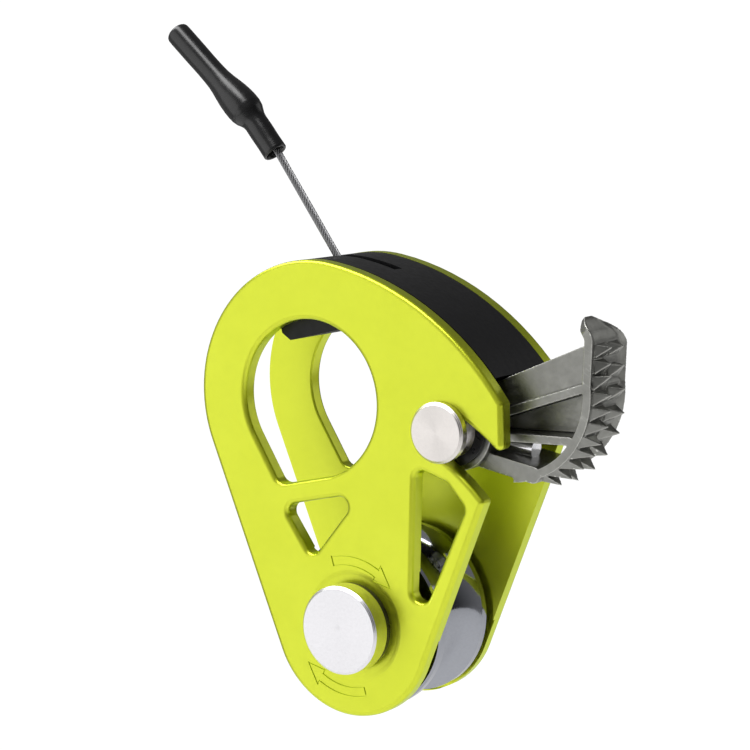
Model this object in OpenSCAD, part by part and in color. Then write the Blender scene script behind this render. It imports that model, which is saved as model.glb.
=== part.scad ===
// Rope pulley with a swing side plate and a toothed cam.
// Millimetres. Origin on the sheave axle, half way between the side plates.
// +X right, +Y to the back plate, +Z from the sheave to the carabiner eye.

/* [Frame] */
// Gap between the two side plates
gap = 14.2; // [12:0.1:18]
// Side plate thickness
plate_t = 2.5; // [2:0.1:4]
// Radius of the plates round the sheave
foot_r = 13.3; // [12:0.1:16]
// Radius of the plates round the carabiner eye
crown_r = 19.9; // [18:0.1:24]
// Radius of the long arc that joins the crown to the nose
brow_r = 43.6; // [38:0.1:48]
// Height of the carabiner eye over the sheave axle
eye_z = 33; // [28:0.5:38]
// Radius of the carabiner eye
eye_r = 11.5; // [9:0.1:13]

/* [Sheave] */
// Radius over the sheave flanges
sheave_r = 12.7; // [10:0.1:14]
// Width of the sheave
sheave_w = 12.6; // [10:0.1:13]
// Radius at the bottom of the rope groove
groove_r = 9.2; // [8.8:0.1:11]
// Radius of the axle shaft
axle_r = 4; // [3:0.1:5]
// Radius of the axle head
axle_head_r = 6.4; // [5:0.1:8]

/* [Cam] */
// Distance from the sheave axle to the cam pin
pin_reach = 32.9; // [28:0.1:38]
// Angle of the cam pin from the vertical
pin_angle = 40.3; // [30:0.1:50]
// Radius of the cam pin
pin_r = 3; // [2:0.1:4]
// Radius of the cam hub
hub_r = 6; // [5:0.1:8]
// Radius of the gripping shoe
shoe_r = 12.8; // [10:0.1:15]
// Width of the gripping shoe
shoe_w = 10; // [8:0.1:12]

/* [Pull wire] */
// Radius of the pull wire
wire_r = 0.55; // [0.4:0.05:1]
// Length of wire between the frame and the grip
wire_out = 17.7; // [12:0.1:40]
// Lean of the pull wire from the vertical
wire_lean = 22; // [0:1:45]
// Radius of the grip sleeve
grip_r = 1.85; // [1.5:0.05:4]

/* [Hidden] */
$fn = 96;
eps = 0.01;
run_fit = 0.05;          // radial clearance of a running fit
face_fit = 0.1;          // clearance between faces that turn past each other
inner_y = gap / 2;
outer_y = inner_y + plate_t;
pocket_t = 0.5;          // depth of the sheave pocket in each plate
pocket_y = inner_y + pocket_t;
dish_t = 0.3;            // depth of the dish round the axle head
pin = [pin_reach * sin(pin_angle), pin_reach * cos(pin_angle)];

// Plate outline, as discs that a belt runs round
foot = [-0.9, 0, foot_r];
lobe = [24.85, 14.6, 0.8];
chin = [29.8, 22.0, 0.8];
crown = [0.5, eye_z, crown_r];
brow_dir = [0.39, 0.921];
brow_c = [crown.x, crown.y] - brow_dir * (brow_r - crown_r);
brow_far = [34, 48];     // any point outside the brow arc, between the crown and the nose
nose_r = 0.8;
nose_angle = 22.1;       // where the nose touches the brow arc from inside
nose_dir = [cos(nose_angle), sin(nose_angle)];
nose = [each brow_c + nose_dir * (brow_r - nose_r), nose_r];

// Slot that hooks the front plate behind the head of the cam pin
slot_half = 3.35;
slot_strip = 3;

// Bearing
race_w = 5;
race_in_r = 5.2;
race_out_r = 6.8;
race_r = 8;
ball_r = 1.2;
ball_pitch_r = 6;
ball_count = 9;

// Axle
bush_r = 5.3;
neck_r = 4.5;
head_top = outer_y + 3.9;
head_under = outer_y + 1;

// Cam
cam_half = 6.2;
pin_head_r = 4.3;
pin_bush_r = 3.9;
shoe_c = [30.5, 28.9];
shoe_t = 1.3;
coil_r = 4.75;
coil_wire_r = 0.4;
coil_from = 1.75;
coil_turns = 2.5;
coil_start = 150;
spring_room = [1.3, 4.4];
wrap_r = 5.25;
wrap_from = -34;
wrap_to = 33;

// Pull wire
wire_exit = [2.9, 53.3];
wire_dir = [-sin(wire_lean), cos(wire_lean)];
wire_in = 1.5;
wire_bore = 11.3;
grip_low = 6.5;
grip_low_lean = 26;
grip_bulge = 8.7;
grip_high = 10.5;
grip_lean = 34.5;
grip_side = -0.4;        // the sleeve hangs to one side of the wire
grip_wall = 0.45;
grip_open = 1.6;         // depth of the sleeve's open end
bulge_r = 2.65;
stop_r = 1.6;

lime = [0.82, 0.88, 0.2];
silver = [0.86, 0.86, 0.88];
steel = [0.55, 0.56, 0.55];
black = [0.1, 0.1, 0.11];
brass = [0.75, 0.6, 0.3];

// ---------- helpers ----------

// Extrudes a front-view outline from y0 to y1
module slab(y0, y1) {
    translate([0, y1, 0])
        rotate([90, 0, 0])
            linear_extrude(height = y1 - y0)
                children();
}

// Turns a profile of [radius, y] points about the Y axis
module turned() {
    rotate([-90, 0, 0])
        rotate_extrude()
            children();
}

module at(p) {
    translate([p.x, 0, p.y])
        children();
}

// Rectangle in a turned profile, from r0 to r1 and y0 to y1
module band(r0, r1, y0, y1) {
    translate([r0, y0])
        square([r1 - r0, y1 - y0]);
}

module disc(d) {
    translate([d.x, d.y])
        circle(r = d.z);
}

// Angle of the outer tangent from disc a to disc b, walking counter-clockwise
function tangent_angle(a, b) =
    let (dx = b.x - a.x, dy = b.y - a.y)
    atan2(dy, dx) - 90 - asin((b.z - a.z) / norm([dx, dy]));

function on_disc(d, angle) = [d.x + d.z * cos(angle), d.y + d.z * sin(angle)];

// A belt round discs listed counter-clockwise
module belt(discs) {
    n = len(discs);
    polygon([for (i = [0 : n - 1])
        let (a = discs[i], b = discs[(i + 1) % n], t = tangent_angle(a, b))
        each [on_disc(a, t), on_disc(b, t)]]);
    for (d = discs)
        disc(d);
}

// Solid tube along points, with `sides` flat sides
module tube(path, r, sides = 10) {
    n = len(path);
    function along(i) = let (a = path[max(i - 1, 0)], b = path[min(i + 1, n - 1)])
        (b - a) / norm(b - a);
    function across(d) = let (s = abs(d.y) < 0.9 ? [0, 1, 0] : [1, 0, 0], c = cross(d, s))
        c / norm(c);
    rings = [for (i = [0 : n - 1])
        let (d = along(i), u = across(d), v = cross(d, u))
        for (k = [0 : sides - 1])
            path[i] + r * (u * cos(360 * k / sides) + v * sin(360 * k / sides))];
    walls = [for (i = [0 : n - 2], k = [0 : sides - 1])
        let (a = i * sides + k, b = i * sides + (k + 1) % sides)
        each [[a, b, b + sides], [a, b + sides, a + sides]]];
    cap_0 = [for (k = [1 : sides - 2]) [0, k + 1, k]];
    last = (n - 1) * sides;
    cap_1 = [for (k = [1 : sides - 2]) [last, last + k, last + k + 1]];
    polyhedron(rings, concat(walls, cap_0, cap_1));
}

// ---------- plates ----------

// The area under the brow arc of radius r, closed off through the points in `low`
module brow(r, low) {
    intersection() {
        translate(brow_c)
            circle(r = r);
        polygon(concat([[crown.x, crown.y], brow_c + brow_dir * (brow_r + 2), brow_far], low));
    }
}

module plate_outline() {
    belt([foot, lobe, chin, nose, crown]);
    brow(brow_r, [brow_c + nose_dir * (brow_r + 2), [nose.x, nose.y], [chin.x, chin.y]]);
}

module eye_hole() {
    belt([[0, eye_z, eye_r], [-7.1, 23.3, 1.7]]);
}

module small_window() {
    belt([[-6.4, 17.2, 1.4], [-4.6, 12.2, 1.2], [1.5, 17.1, 1.4]]);
}

module right_window() {
    belt([[12.5, 3.4, 1.5], [20.75, 14.2, 1.5], [19.2, 17, 1.5], [16.4, 19, 1.2]]);
}

module hook_slot() {
    intersection() {
        difference() {
            circle(r = pin_reach + slot_half);
            circle(r = pin_reach - slot_half);
        }
        polygon([[0, 0], pin * 2, [2, 1] * pin_reach, [2, 0] * pin_reach]);
    }
    translate(pin)
        circle(r = slot_half);
}

module front_plate() {
    dish_r = 7.9;
    color(lime)
        difference() {
            slab(-outer_y, -inner_y)
                difference() {
                    plate_outline();
                    eye_hole();
                    small_window();
                    right_window();
                    hook_slot();
                    circle(r = bush_r);
                }
            turned()
                band(0, sheave_r + 0.5, -pocket_y, -inner_y + eps);
            turned()
                polygon([[0, -outer_y - eps], [dish_r, -outer_y - eps],
                    [dish_r - 0.7, -outer_y + dish_t], [0, -outer_y + dish_t]]);
        }
}

module back_plate() {
    color(lime)
        difference() {
            slab(inner_y, outer_y)
                difference() {
                    plate_outline();
                    eye_hole();
                    small_window();
                    circle(r = axle_r);
                    translate(pin)
                        circle(r = pin_r);
                }
            turned()
                band(0, sheave_r + 0.5, inner_y - eps, pocket_y);
            screws(open_top = true);
        }
}

// ---------- spacer ----------

// Gap between the spacer's end face and the top edge of the open cam
cam_stop_gap = 0.3;

// Front-view corners of the spacer, from its left end along the underside to the cam hub
spacer_low = [[-4.2, 43.2], [-3, 41.9], [8.6, 41.9], [13.6, 36], [15, 28]];

module spacer_outline() {
    inset = 0.1;
    far = 60;
    difference() {
        intersection() {
            union() {
                disc([crown.x, crown.y, crown_r - inset]);
                brow(brow_r - inset, [[brow_far.x, pin.y]]);
            }
            polygon(concat([[spacer_low[0].x, far]], spacer_low, [[far, spacer_low[4].y], [far, far]]));
        }
        disc([pin.x, pin.y, hub_r + 0.8]);
        under_open_cam(far);
    }
}

// Everything on the cam's side of the line where the spacer stops the open cam
module under_open_cam(far) {
    run = top_rib[1] - top_rib[0];
    translate(top_rib[0])
        rotate(atan2(run.y, run.x))
            translate([-far / 2, -far / 2])
                square([far * 2, far / 2 + rib_w / 2 + cam_stop_gap]);
}

screw_at = [[1, 47.7], [14.6, 42.4], [24, 34.6]];
screw_r = 1.25;
screw_head_r = 2.1;
screw_head_t = 1.3;
screw_in = 3.6;
socket_r = 0.85;
socket_t = 0.9;

// The countersunk screws; an open top makes them cut clean holes
module screws(open_top = false) {
    for (p = screw_at)
        at(p)
            turned() {
                polygon([[0, outer_y], [screw_head_r, outer_y], [screw_r, outer_y - screw_head_t],
                    [screw_r, inner_y - screw_in], [0, inner_y - screw_in]]);
                if (open_top)
                    band(0, screw_head_r, outer_y - eps, outer_y + 1);
            }
}

module spacer_screws() {
    color(steel)
        difference() {
            screws();
            for (p = screw_at)
                at(p)
                    rotate([-90, 0, 0])
                        translate([0, 0, outer_y - socket_t])
                            cylinder(r = socket_r, h = 2 * socket_t, $fn = 6);
        }
}

module top_spacer() {
    way_half = 1.3;
    color(black)
        difference() {
            slab(-inner_y + face_fit, inner_y)
                spacer_outline();
            slab(-way_half, way_half)
                wire_way();
            at(wire_exit)
                rotate([0, -wire_lean, 0])
                    translate([0, 0, -wire_bore])
                        cylinder(r = wire_r + 0.2, h = wire_bore + 3);
            screws();
        }
}

// Room for the wire between the hub and the exit, open along the top
module wire_way() {
    polygon([[4.6, 60], [4.2, 48.6], [10, 46.6], [13, 43.8], [24.2, 26], [29.4, 30],
        [14.6, 46.9], [13.9, 60]]);
}

// ---------- axle ----------

spigot_r = 3.2;          // end of the axle that the cap sits on
spigot_y = outer_y + 1;

module sheave_axle() {
    dimple_r = 0.8;
    dimple_t = 0.1;
    bevel = 0.35;
    color(silver)
        turned()
            polygon([[0, -head_top + dimple_t], [dimple_r, -head_top], [axle_head_r - bevel, -head_top],
                [axle_head_r, -head_top + bevel], [axle_head_r, -head_under], [neck_r, -head_under],
                [neck_r, -pocket_y], [axle_r, -pocket_y], [axle_r, outer_y], [spigot_r, outer_y],
                [spigot_r, spigot_y], [0, spigot_y]]);
}

// Cap with two holes for a pin spanner
module axle_cap() {
    cap_r = 6;
    cap_t = 1.7;
    bevel = 0.4;
    spanner_at = 4.4;
    spanner_r = 0.6;
    color(silver)
        difference() {
            turned()
                polygon([[spigot_r, outer_y], [cap_r, outer_y], [cap_r, outer_y + cap_t - bevel],
                    [cap_r - bevel, outer_y + cap_t], [0, outer_y + cap_t], [0, spigot_y],
                    [spigot_r, spigot_y]]);
            for (side = [-1, 1])
                translate([side * spanner_at, 0, 0])
                    turned()
                        band(0, spanner_r, outer_y + cap_t / 2, outer_y + cap_t + 1);
        }
}

module plate_bush() {
    flange_r = 6.2;
    color(black)
        turned()
            polygon([[neck_r + run_fit, -head_under + face_fit], [flange_r, -head_under + face_fit],
                [flange_r, -outer_y + dish_t], [bush_r, -outer_y + dish_t], [bush_r, -pocket_y - run_fit],
                [neck_r + run_fit, -pocket_y - run_fit]]);
}

module thrust_washers() {
    washer_r = 7.4;
    hub_y = sheave_w / 2 + face_fit;
    color(black)
        turned() {
            band(axle_r, washer_r, -pocket_y + face_fit, -hub_y);
            band(axle_r, washer_r, hub_y, pocket_y);
        }
}

module axle_sleeves() {
    sleeve_end = sheave_w / 2 + face_fit;
    color(silver)
        turned()
            for (side = [0, 1])
                mirror([0, side])
                    band(axle_r, race_in_r, race_w / 2, sleeve_end);
}

// ---------- sheave and bearing ----------

clip_y = [race_w / 2 + 0.1, race_w / 2 + 0.9];
clip_groove_r = race_r + 0.4;

module sheave() {
    rim_w = 1.4;
    half = sheave_w / 2;
    groove_half = half - rim_w;
    groove_depth = sheave_r - groove_r;
    groove_arc = (groove_depth * groove_depth + groove_half * groove_half) / (2 * groove_depth);
    color(silver)
        turned()
            difference() {
                polygon([[race_r - 1, -half], [sheave_r - 0.3, -half], [sheave_r, -half + 0.3],
                    [sheave_r, half - 0.3], [sheave_r - 0.3, half], [race_r, half],
                    [race_r, clip_y[1]], [clip_groove_r, clip_y[1]], [clip_groove_r, clip_y[0]],
                    [race_r, clip_y[0]], [race_r, -race_w / 2], [race_r - 1, -race_w / 2]]);
                translate([groove_r + groove_arc, 0])
                    circle(r = groove_arc);
            }
}

module ball_track() {
    translate([ball_pitch_r, 0])
        circle(r = ball_r + run_fit);
}

module bearing_outer_race() {
    color(steel)
        turned()
            difference() {
                band(race_out_r, race_r, -race_w / 2, race_w / 2);
                ball_track();
            }
}

module bearing_inner_race() {
    color(steel)
        turned()
            difference() {
                band(axle_r, race_in_r, -race_w / 2, race_w / 2);
                ball_track();
            }
}

module balls(r) {
    for (i = [0 : ball_count - 1])
        rotate([0, i * 360 / ball_count, 0])
            translate([ball_pitch_r, 0, 0])
                sphere(r = r);
}

module bearing_balls() {
    color(silver)
        balls(ball_r);
}

module bearing_cage() {
    color(brass)
        difference() {
            turned()
                band(ball_pitch_r - 0.35, ball_pitch_r + 0.35, -1.6, 1.6);
            balls(ball_r + 0.08);
        }
}

module bearing_seals() {
    color(black)
        turned()
            for (side = [0, 1])
                mirror([0, side])
                    band(race_in_r + 0.15, race_out_r, 1.9, 2.3);
}

module bearing_circlip() {
    gap_w = 3;
    color(steel)
        difference() {
            turned()
                band(race_r - 0.9, clip_groove_r - 0.05, clip_y[0], clip_y[1]);
            translate([-gap_w / 2, 0, 0])
                cube([gap_w, 10, 20]);
        }
}

// ---------- cam ----------

module cam_pin() {
    head_y = outer_y + face_fit;
    head_t = 1.4;
    bevel = 0.4;
    rivet_r = 4.1;
    rivet_t = 1.1;
    color(silver)
        at(pin)
            turned()
                polygon([[0, -head_y - head_t], [pin_head_r - bevel, -head_y - head_t],
                    [pin_head_r, -head_y - head_t + bevel], [pin_head_r, -head_y], [pin_r, -head_y],
                    [pin_r, outer_y], [rivet_r, outer_y], [rivet_r - bevel, outer_y + rivet_t],
                    [0, outer_y + rivet_t]]);
}

module cam_bush() {
    color(steel)
        at(pin)
            turned()
                band(pin_r, pin_bush_r, -inner_y + face_fit, inner_y);
}

module cam_washers() {
    washer_r = 5.2;
    color(black)
        at(pin)
            turned() {
                band(pin_bush_r, washer_r, -inner_y + face_fit, -cam_half - face_fit);
                band(pin_bush_r, washer_r, cam_half + face_fit, inner_y);
            }
}

// Front-view outline of the shoe: a toothed arc, a straight end and a curled thumb lip
shoe_from = -100;
shoe_to = -8;
thumb_lean = 16;
thumb_len = 6.1;
curl_r = 2.6;
curl_turn = 61;
lip_len = 1.5;

function shoe_point(angle, r) = shoe_c + r * [cos(angle), sin(angle)];

thumb_dir = [sin(thumb_lean), cos(thumb_lean)];
curl_c = shoe_point(shoe_to, shoe_r) + thumb_dir * thumb_len - curl_r * [cos(thumb_lean), -sin(thumb_lean)];

// Ring sector between two radii and two angles
module sector(centre, r_out, r_in, from, to) {
    far = 3 * r_out;
    translate(centre)
        intersection() {
            difference() {
                circle(r = r_out);
                circle(r = r_in);
            }
            polygon([[0, 0], for (i = [0 : 2]) far * [cos(from + i * (to - from) / 2),
                sin(from + i * (to - from) / 2)]]);
        }
}

module shoe_outline() {
    lip_angle = curl_turn - thumb_lean;
    lap = 0.6;               // length that the straight end shares with the arc
    sector(shoe_c, shoe_r, shoe_r - shoe_t, shoe_from, shoe_to);
    translate(shoe_point(shoe_to, shoe_r))
        rotate(-thumb_lean)
            translate([-shoe_t, -lap])
                square([shoe_t, thumb_len + lap]);
    sector(curl_c, curl_r, curl_r - shoe_t, -thumb_lean - 0.5, lip_angle + 0.5);
    translate(curl_c)
        rotate(lip_angle)
            translate([curl_r - shoe_t, 0])
                square([shoe_t, lip_len]);
}

// What is cut from the corners of the thumb lip: it ends at a slant, lower at the back
module lip_corners() {
    lip_z = curl_c.y + curl_r * sin(curl_turn - thumb_lean) + lip_len * 0.7;
    corner = [2, 4.4];
    for (side = [0, 1])
        translate([shoe_c.x + shoe_r, (side - 0.5) * shoe_w, lip_z])
            rotate([45, 0, 0])
                cube([20, sqrt(2) * corner[side], sqrt(2) * corner[side]], center = true);
}

// Straight rib between two points, `w` wide, with round ends
module rib(a, b, w) {
    belt([[a.x, a.y, w / 2], [b.x, b.y, w / 2]]);
}

rib_w = 1.2;
top_rib = [[25.25, 29.2], [43.1, 32.3]];
rib_1 = [[27, 25.8], [42.2, 27.3]];
rib_2 = [[26.8, 23], [38.2, 20.6]];
low_rib = [[24, 20.2], [31.5, 16.9]];

module cam_ribs() {
    rib(rib_1[0], rib_1[1], rib_w);
    rib(rib_2[0], rib_2[1], rib_w);
    rib(low_rib[0], low_rib[1], 2 * rib_w);
}

module upper_web() {
    rib(top_rib[0], top_rib[1], rib_w);
    polygon([top_rib[0], top_rib[1], rib_1[1], rib_1[0]]);
}

module middle_web() {
    polygon([rib_1[0], rib_1[1], shoe_point(-20, shoe_r - shoe_t / 2), rib_2[1], rib_2[0]]);
}

// Spikes in a front and a back column. They lean towards the thumb end, most at the low end,
// to bite a rope that runs back
tooth_rows = [11, 8];
tooth_span = [-84, 14];      // along the shoe, as degrees of its arc
tooth_y = 2.45;
tooth_long = 2.3;
tooth_lean = [48, 12];       // at the lowest and the highest row
tooth_wide = [3.8, 3];
tooth_len = [2.9, 2.9];      // lowest row of each column
tooth_top_len = [1.4, 2.1];  // highest row of each column

// Four-sided spike, `wide` across the shoe and `long` along it
module tooth(at_shoe, facing, y, wide, long, len, lean) {
    sink = 0.6;
    base = [[-long, -wide], [long, -wide], [long, wide], [-long, wide]] / 2;
    translate([at_shoe.x, y, at_shoe.y])
        rotate([0, 90 - facing, 0])
            polyhedron(
                [for (p = base) [p.x, p.y, -sink], for (p = base) [p.x, p.y, 0],
                    [-len * sin(lean), 0, len * cos(lean)]],
                [[0, 1, 2, 3], [0, 4, 5, 1], [1, 5, 6, 2], [2, 6, 7, 3], [3, 7, 4, 0],
                    [4, 8, 5], [5, 8, 6], [6, 8, 7], [7, 8, 4]]);
}

module teeth() {
    function mixed(from, to, up) = from + up * (to - from);
    for (column = [0, 1], i = [0 : tooth_rows[column] - 1]) {
        up = i / (tooth_rows[column] - 1);
        angle = mixed(tooth_span[0], tooth_span[1], up);
        facing = min(angle, shoe_to);
        past = (angle - facing) * PI / 180 * shoe_r;
        tooth(shoe_point(facing, shoe_r) + thumb_dir * past, facing, (2 * column - 1) * tooth_y,
            mixed(tooth_wide[0], tooth_wide[1], up), tooth_long,
            mixed(tooth_len[column], tooth_top_len[column], up), mixed(tooth_lean[0], tooth_lean[1], up));
    }
}

module cam() {
    web_half = 4.4;
    thin_half = 1;
    through = cam_half + 1;
    groove_half = wire_r + 0.1;
    color(steel)
        difference() {
            union() {
                slab(-cam_half, spring_room[0])
                    disc([pin.x, pin.y, hub_r]);
                slab(spring_room[1], cam_half)
                    disc([pin.x, pin.y, hub_r]);
                slab(-shoe_w / 2, shoe_w / 2) {
                    shoe_outline();
                    cam_ribs();
                }
                slab(-web_half, web_half)
                    upper_web();
                slab(-thin_half, thin_half)
                    middle_web();
                teeth();
            }
            at(pin)
                turned() {
                    band(0, pin_bush_r + run_fit, -through, through);
                    band(0, coil_r + coil_wire_r + 0.3, spring_room[0], spring_room[1]);
                    translate([wrap_r, 0])
                        circle(r = groove_half);
                    band(wrap_r, hub_r + 0.6, -groove_half, groove_half);
                }
            ferrule_bore();
            lip_corners();
        }
}

// Torsion spring: open coil with a straight leg at each end
module cam_spring() {
    pitch = 2 * coil_wire_r + 0.08;
    leg_len = [3.8, 2.3];
    steps = 70;
    function on_coil(turn) = let (a = coil_start + 360 * turn)
        [pin.x + coil_r * cos(a), coil_from + pitch * turn, pin.y + coil_r * sin(a)];
    function leg_dir(turn) = let (a = coil_start + 360 * turn)
        [-sin(a), 0, cos(a)];
    coil = [for (i = [0 : steps]) on_coil(i * coil_turns / steps)];
    first_end = coil[0] - leg_len[0] * leg_dir(0);
    last_end = coil[steps] + leg_len[1] * leg_dir(coil_turns);
    color(steel)
        tube(concat([first_end], coil, [last_end]), coil_wire_r, 8);
}

// ---------- wire ----------

ferrule_at = [27.6, 20.9];
ferrule_turn = 20;
ferrule_r = 1.35;
ferrule_len = 5;

module ferrule_place() {
    at(ferrule_at)
        rotate([0, ferrule_turn, 0])
            rotate([0, 90, 0])
                children();
}

module ferrule_bore() {
    ferrule_place()
        translate([0, 0, -ferrule_len / 2 - eps])
            cylinder(r = ferrule_r, h = ferrule_len + 2 * eps);
}

// Crimped on the end of the wire, which runs in along the hub's groove
module wire_ferrule() {
    color(silver)
        difference() {
            ferrule_place()
                translate([0, 0, -ferrule_len / 2])
                    cylinder(r = ferrule_r, h = ferrule_len);
            at(pin)
                turned()
                    translate([wrap_r, 0])
                        circle(r = wire_r);
        }
}

module hub_wire() {
    steps = 16;
    path = [for (i = [0 : steps])
        let (a = wrap_from + i * (wrap_to - wrap_from) / steps)
        [pin.x + wrap_r * cos(a), 0, pin.y + wrap_r * sin(a)]];
    color(steel)
        tube(path, wire_r);
}

function bezier(p, t) =
    p[0] * pow(1 - t, 3) + 3 * p[1] * t * pow(1 - t, 2) + 3 * p[2] * t * t * (1 - t) + p[3] * pow(t, 3);

// From the hub straight to the bend in the spacer, then into the line of the pull wire
module channel_wire() {
    joint_gap = 0.3;
    straight = 20;
    handle = 4;
    steps = 12;
    off = pin + [cos(wrap_to), sin(wrap_to)] * wrap_r;
    run = [-sin(wrap_to), cos(wrap_to)];
    bend = off + run * straight;
    top_end = wire_exit - wire_dir * (wire_in + 0.5);
    curve = [bend, bend + run * handle, top_end - wire_dir * handle, top_end];
    flat = concat([off + run * joint_gap], [for (i = [0 : steps]) bezier(curve, i / steps)]);
    color(steel)
        tube([for (p = flat) [p.x, 0, p.y]], wire_r);
}

module along_wire(lift) {
    at(wire_exit + wire_dir * lift)
        rotate([0, -wire_lean, 0])
            children();
}

module wire_body() {
    along_wire(-wire_in)
        cylinder(r = wire_r, h = wire_in + wire_out + grip_low);
}

module pull_wire() {
    color(steel)
        wire_body();
}

// Sleeve shrunk over the end of the wire: a low tube, a bulge over the stop and a bent top tube
grip_start = wire_exit + wire_dir * wire_out + grip_side * [cos(wire_lean), sin(wire_lean)];
grip_knee = grip_start + grip_low * [-sin(grip_low_lean), cos(grip_low_lean)];

module at_knee() {
    at(grip_knee)
        rotate([0, -grip_lean, 0])
            children();
}

// Bulge and top tube, as [radius, height] points over the knee
function grip_profile(steps = 20) =
    let (swell = bulge_r - grip_r, top = grip_bulge + grip_high, rounding = 0.5)
    [[0, 0],
        for (i = [0 : steps])
            [grip_r + swell * pow(sin(180 * i / steps), 0.7), grip_bulge * i / steps],
        [grip_r - 0.1, top - rounding], [grip_r - rounding, top], [0, top]];

module pull_grip() {
    color(black)
        difference() {
            union() {
                at(grip_start)
                    rotate([0, -grip_low_lean, 0])
                        cylinder(r = grip_r, h = grip_low);
                at(grip_knee)
                    sphere(r = grip_r + 2 * eps);
                at_knee()
                    rotate_extrude()
                        polygon(grip_profile());
            }
            at(grip_start)
                rotate([0, -grip_low_lean, 0])
                    translate([0, 0, -eps])
                        cylinder(r = grip_r - grip_wall, h = grip_open);
            wire_body();
            stop_body();
        }
}

module stop_body() {
    end_gap = 1;
    at_knee()
        translate([0, 0, end_gap])
            cylinder(r = stop_r, h = grip_bulge - 2 * end_gap);
}

module grip_stop() {
    color(silver)
        difference() {
            stop_body();
            wire_body();
        }
}

back_plate();
front_plate();
plate_bush();
top_spacer();
spacer_screws();
sheave_axle();
axle_cap();
thrust_washers();
sheave();
bearing_outer_race();
bearing_inner_race();
bearing_balls();
bearing_cage();
bearing_seals();
bearing_circlip();
axle_sleeves();
cam_pin();
cam_bush();
cam_washers();
cam();
cam_spring();
wire_ferrule();
hub_wire();
channel_wire();
pull_wire();
pull_grip();
grip_stop();
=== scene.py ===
"""Rope pulley with a swing plate and a toothed cam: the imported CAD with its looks."""

import math

import bmesh
import bpy
from mathutils import Matrix, Vector
from mathutils.geometry import tessellate_polygon


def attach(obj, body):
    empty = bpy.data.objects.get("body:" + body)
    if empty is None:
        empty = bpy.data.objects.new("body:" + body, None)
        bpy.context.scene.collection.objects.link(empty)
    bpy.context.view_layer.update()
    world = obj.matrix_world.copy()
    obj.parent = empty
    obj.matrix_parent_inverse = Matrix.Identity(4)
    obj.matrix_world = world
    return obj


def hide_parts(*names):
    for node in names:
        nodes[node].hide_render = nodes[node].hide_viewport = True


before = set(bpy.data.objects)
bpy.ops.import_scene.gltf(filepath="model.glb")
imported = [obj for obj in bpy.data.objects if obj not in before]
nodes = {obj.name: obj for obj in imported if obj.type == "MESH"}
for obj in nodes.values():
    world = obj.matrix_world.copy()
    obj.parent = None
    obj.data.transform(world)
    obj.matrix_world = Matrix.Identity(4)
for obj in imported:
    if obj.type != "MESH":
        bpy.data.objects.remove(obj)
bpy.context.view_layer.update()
MM = 0.001

# ---------- camera, floor and light ----------

VIEW_AZIMUTH = 35.06
VIEW_PITCH = -0.2
VIEW_ROLL = -11.38
VIEW_PLACE = (197.2 * MM, -273.1 * MM, 35.7 * MM)
SENSOR = 36.0
FOCAL_IN_WIDTHS = 3.0634


def make_camera():
    data = bpy.data.cameras.new("camera")
    data.sensor_width = SENSOR
    data.lens = SENSOR * FOCAL_IN_WIDTHS
    data.clip_start = 0.01
    obj = bpy.data.objects.new("camera", data)
    turn = (
        Matrix.Rotation(math.radians(VIEW_AZIMUTH), 4, "Z")
        @ Matrix.Rotation(math.radians(90 + VIEW_PITCH), 4, "X")
        @ Matrix.Rotation(math.radians(VIEW_ROLL), 4, "Z")
    )
    obj.matrix_world = Matrix.Translation(VIEW_PLACE) @ turn
    bpy.context.scene.collection.objects.link(obj)
    bpy.context.scene.camera = obj
    bpy.context.scene.view_settings.view_transform = "Standard"


# The backdrop that the camera sees, and the strength of the room's light on its dark and bright sides
BACKDROP = 1.05
BRIGHT_SIDE = (-0.62, -0.55, 0.56)
DARK_FILL = 0.05
BRIGHT_FILL = 0.45
FILL_RAMP = (-0.7, 0.9)

# The point that each lamp aims at, and the direction that its long side follows
LAMP_AIM = Vector((0.005, 0, 0.025))
LAMP_RUN = Vector((0.9, -0.43, 0))
# Name, place, length, width and power of each lamp
LAMPS = (
    ("key", (-0.42, -0.62, 0.18), 0.85, 0.85, 1.8),
    ("top", (-0.08, -0.12, 0.58), 0.9, 0.24, 3.6),
    ("right", (0.46, 0.52, 0.12), 0.5, 0.5, 0.55),
)
FLOOR_R = 0.5
FLOOR_Z = -0.14
FLOOR_GLOW = 0.15


def soft_light(name, place, length, width, power):
    """A lamp that faces the middle of the object, with its long side level."""
    data = bpy.data.lights.new(name, "AREA")
    data.shape = "RECTANGLE"
    data.size = length
    data.size_y = width
    data.energy = power
    obj = bpy.data.objects.new(name, data)
    back = (Vector(place) - LAMP_AIM).normalized()
    across = (LAMP_RUN - back * LAMP_RUN.dot(back)).normalized()
    turn = Matrix((across, back.cross(across), back)).transposed()
    obj.matrix_world = Matrix.Translation(place) @ turn.to_4x4()
    bpy.context.scene.collection.objects.link(obj)


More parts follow.
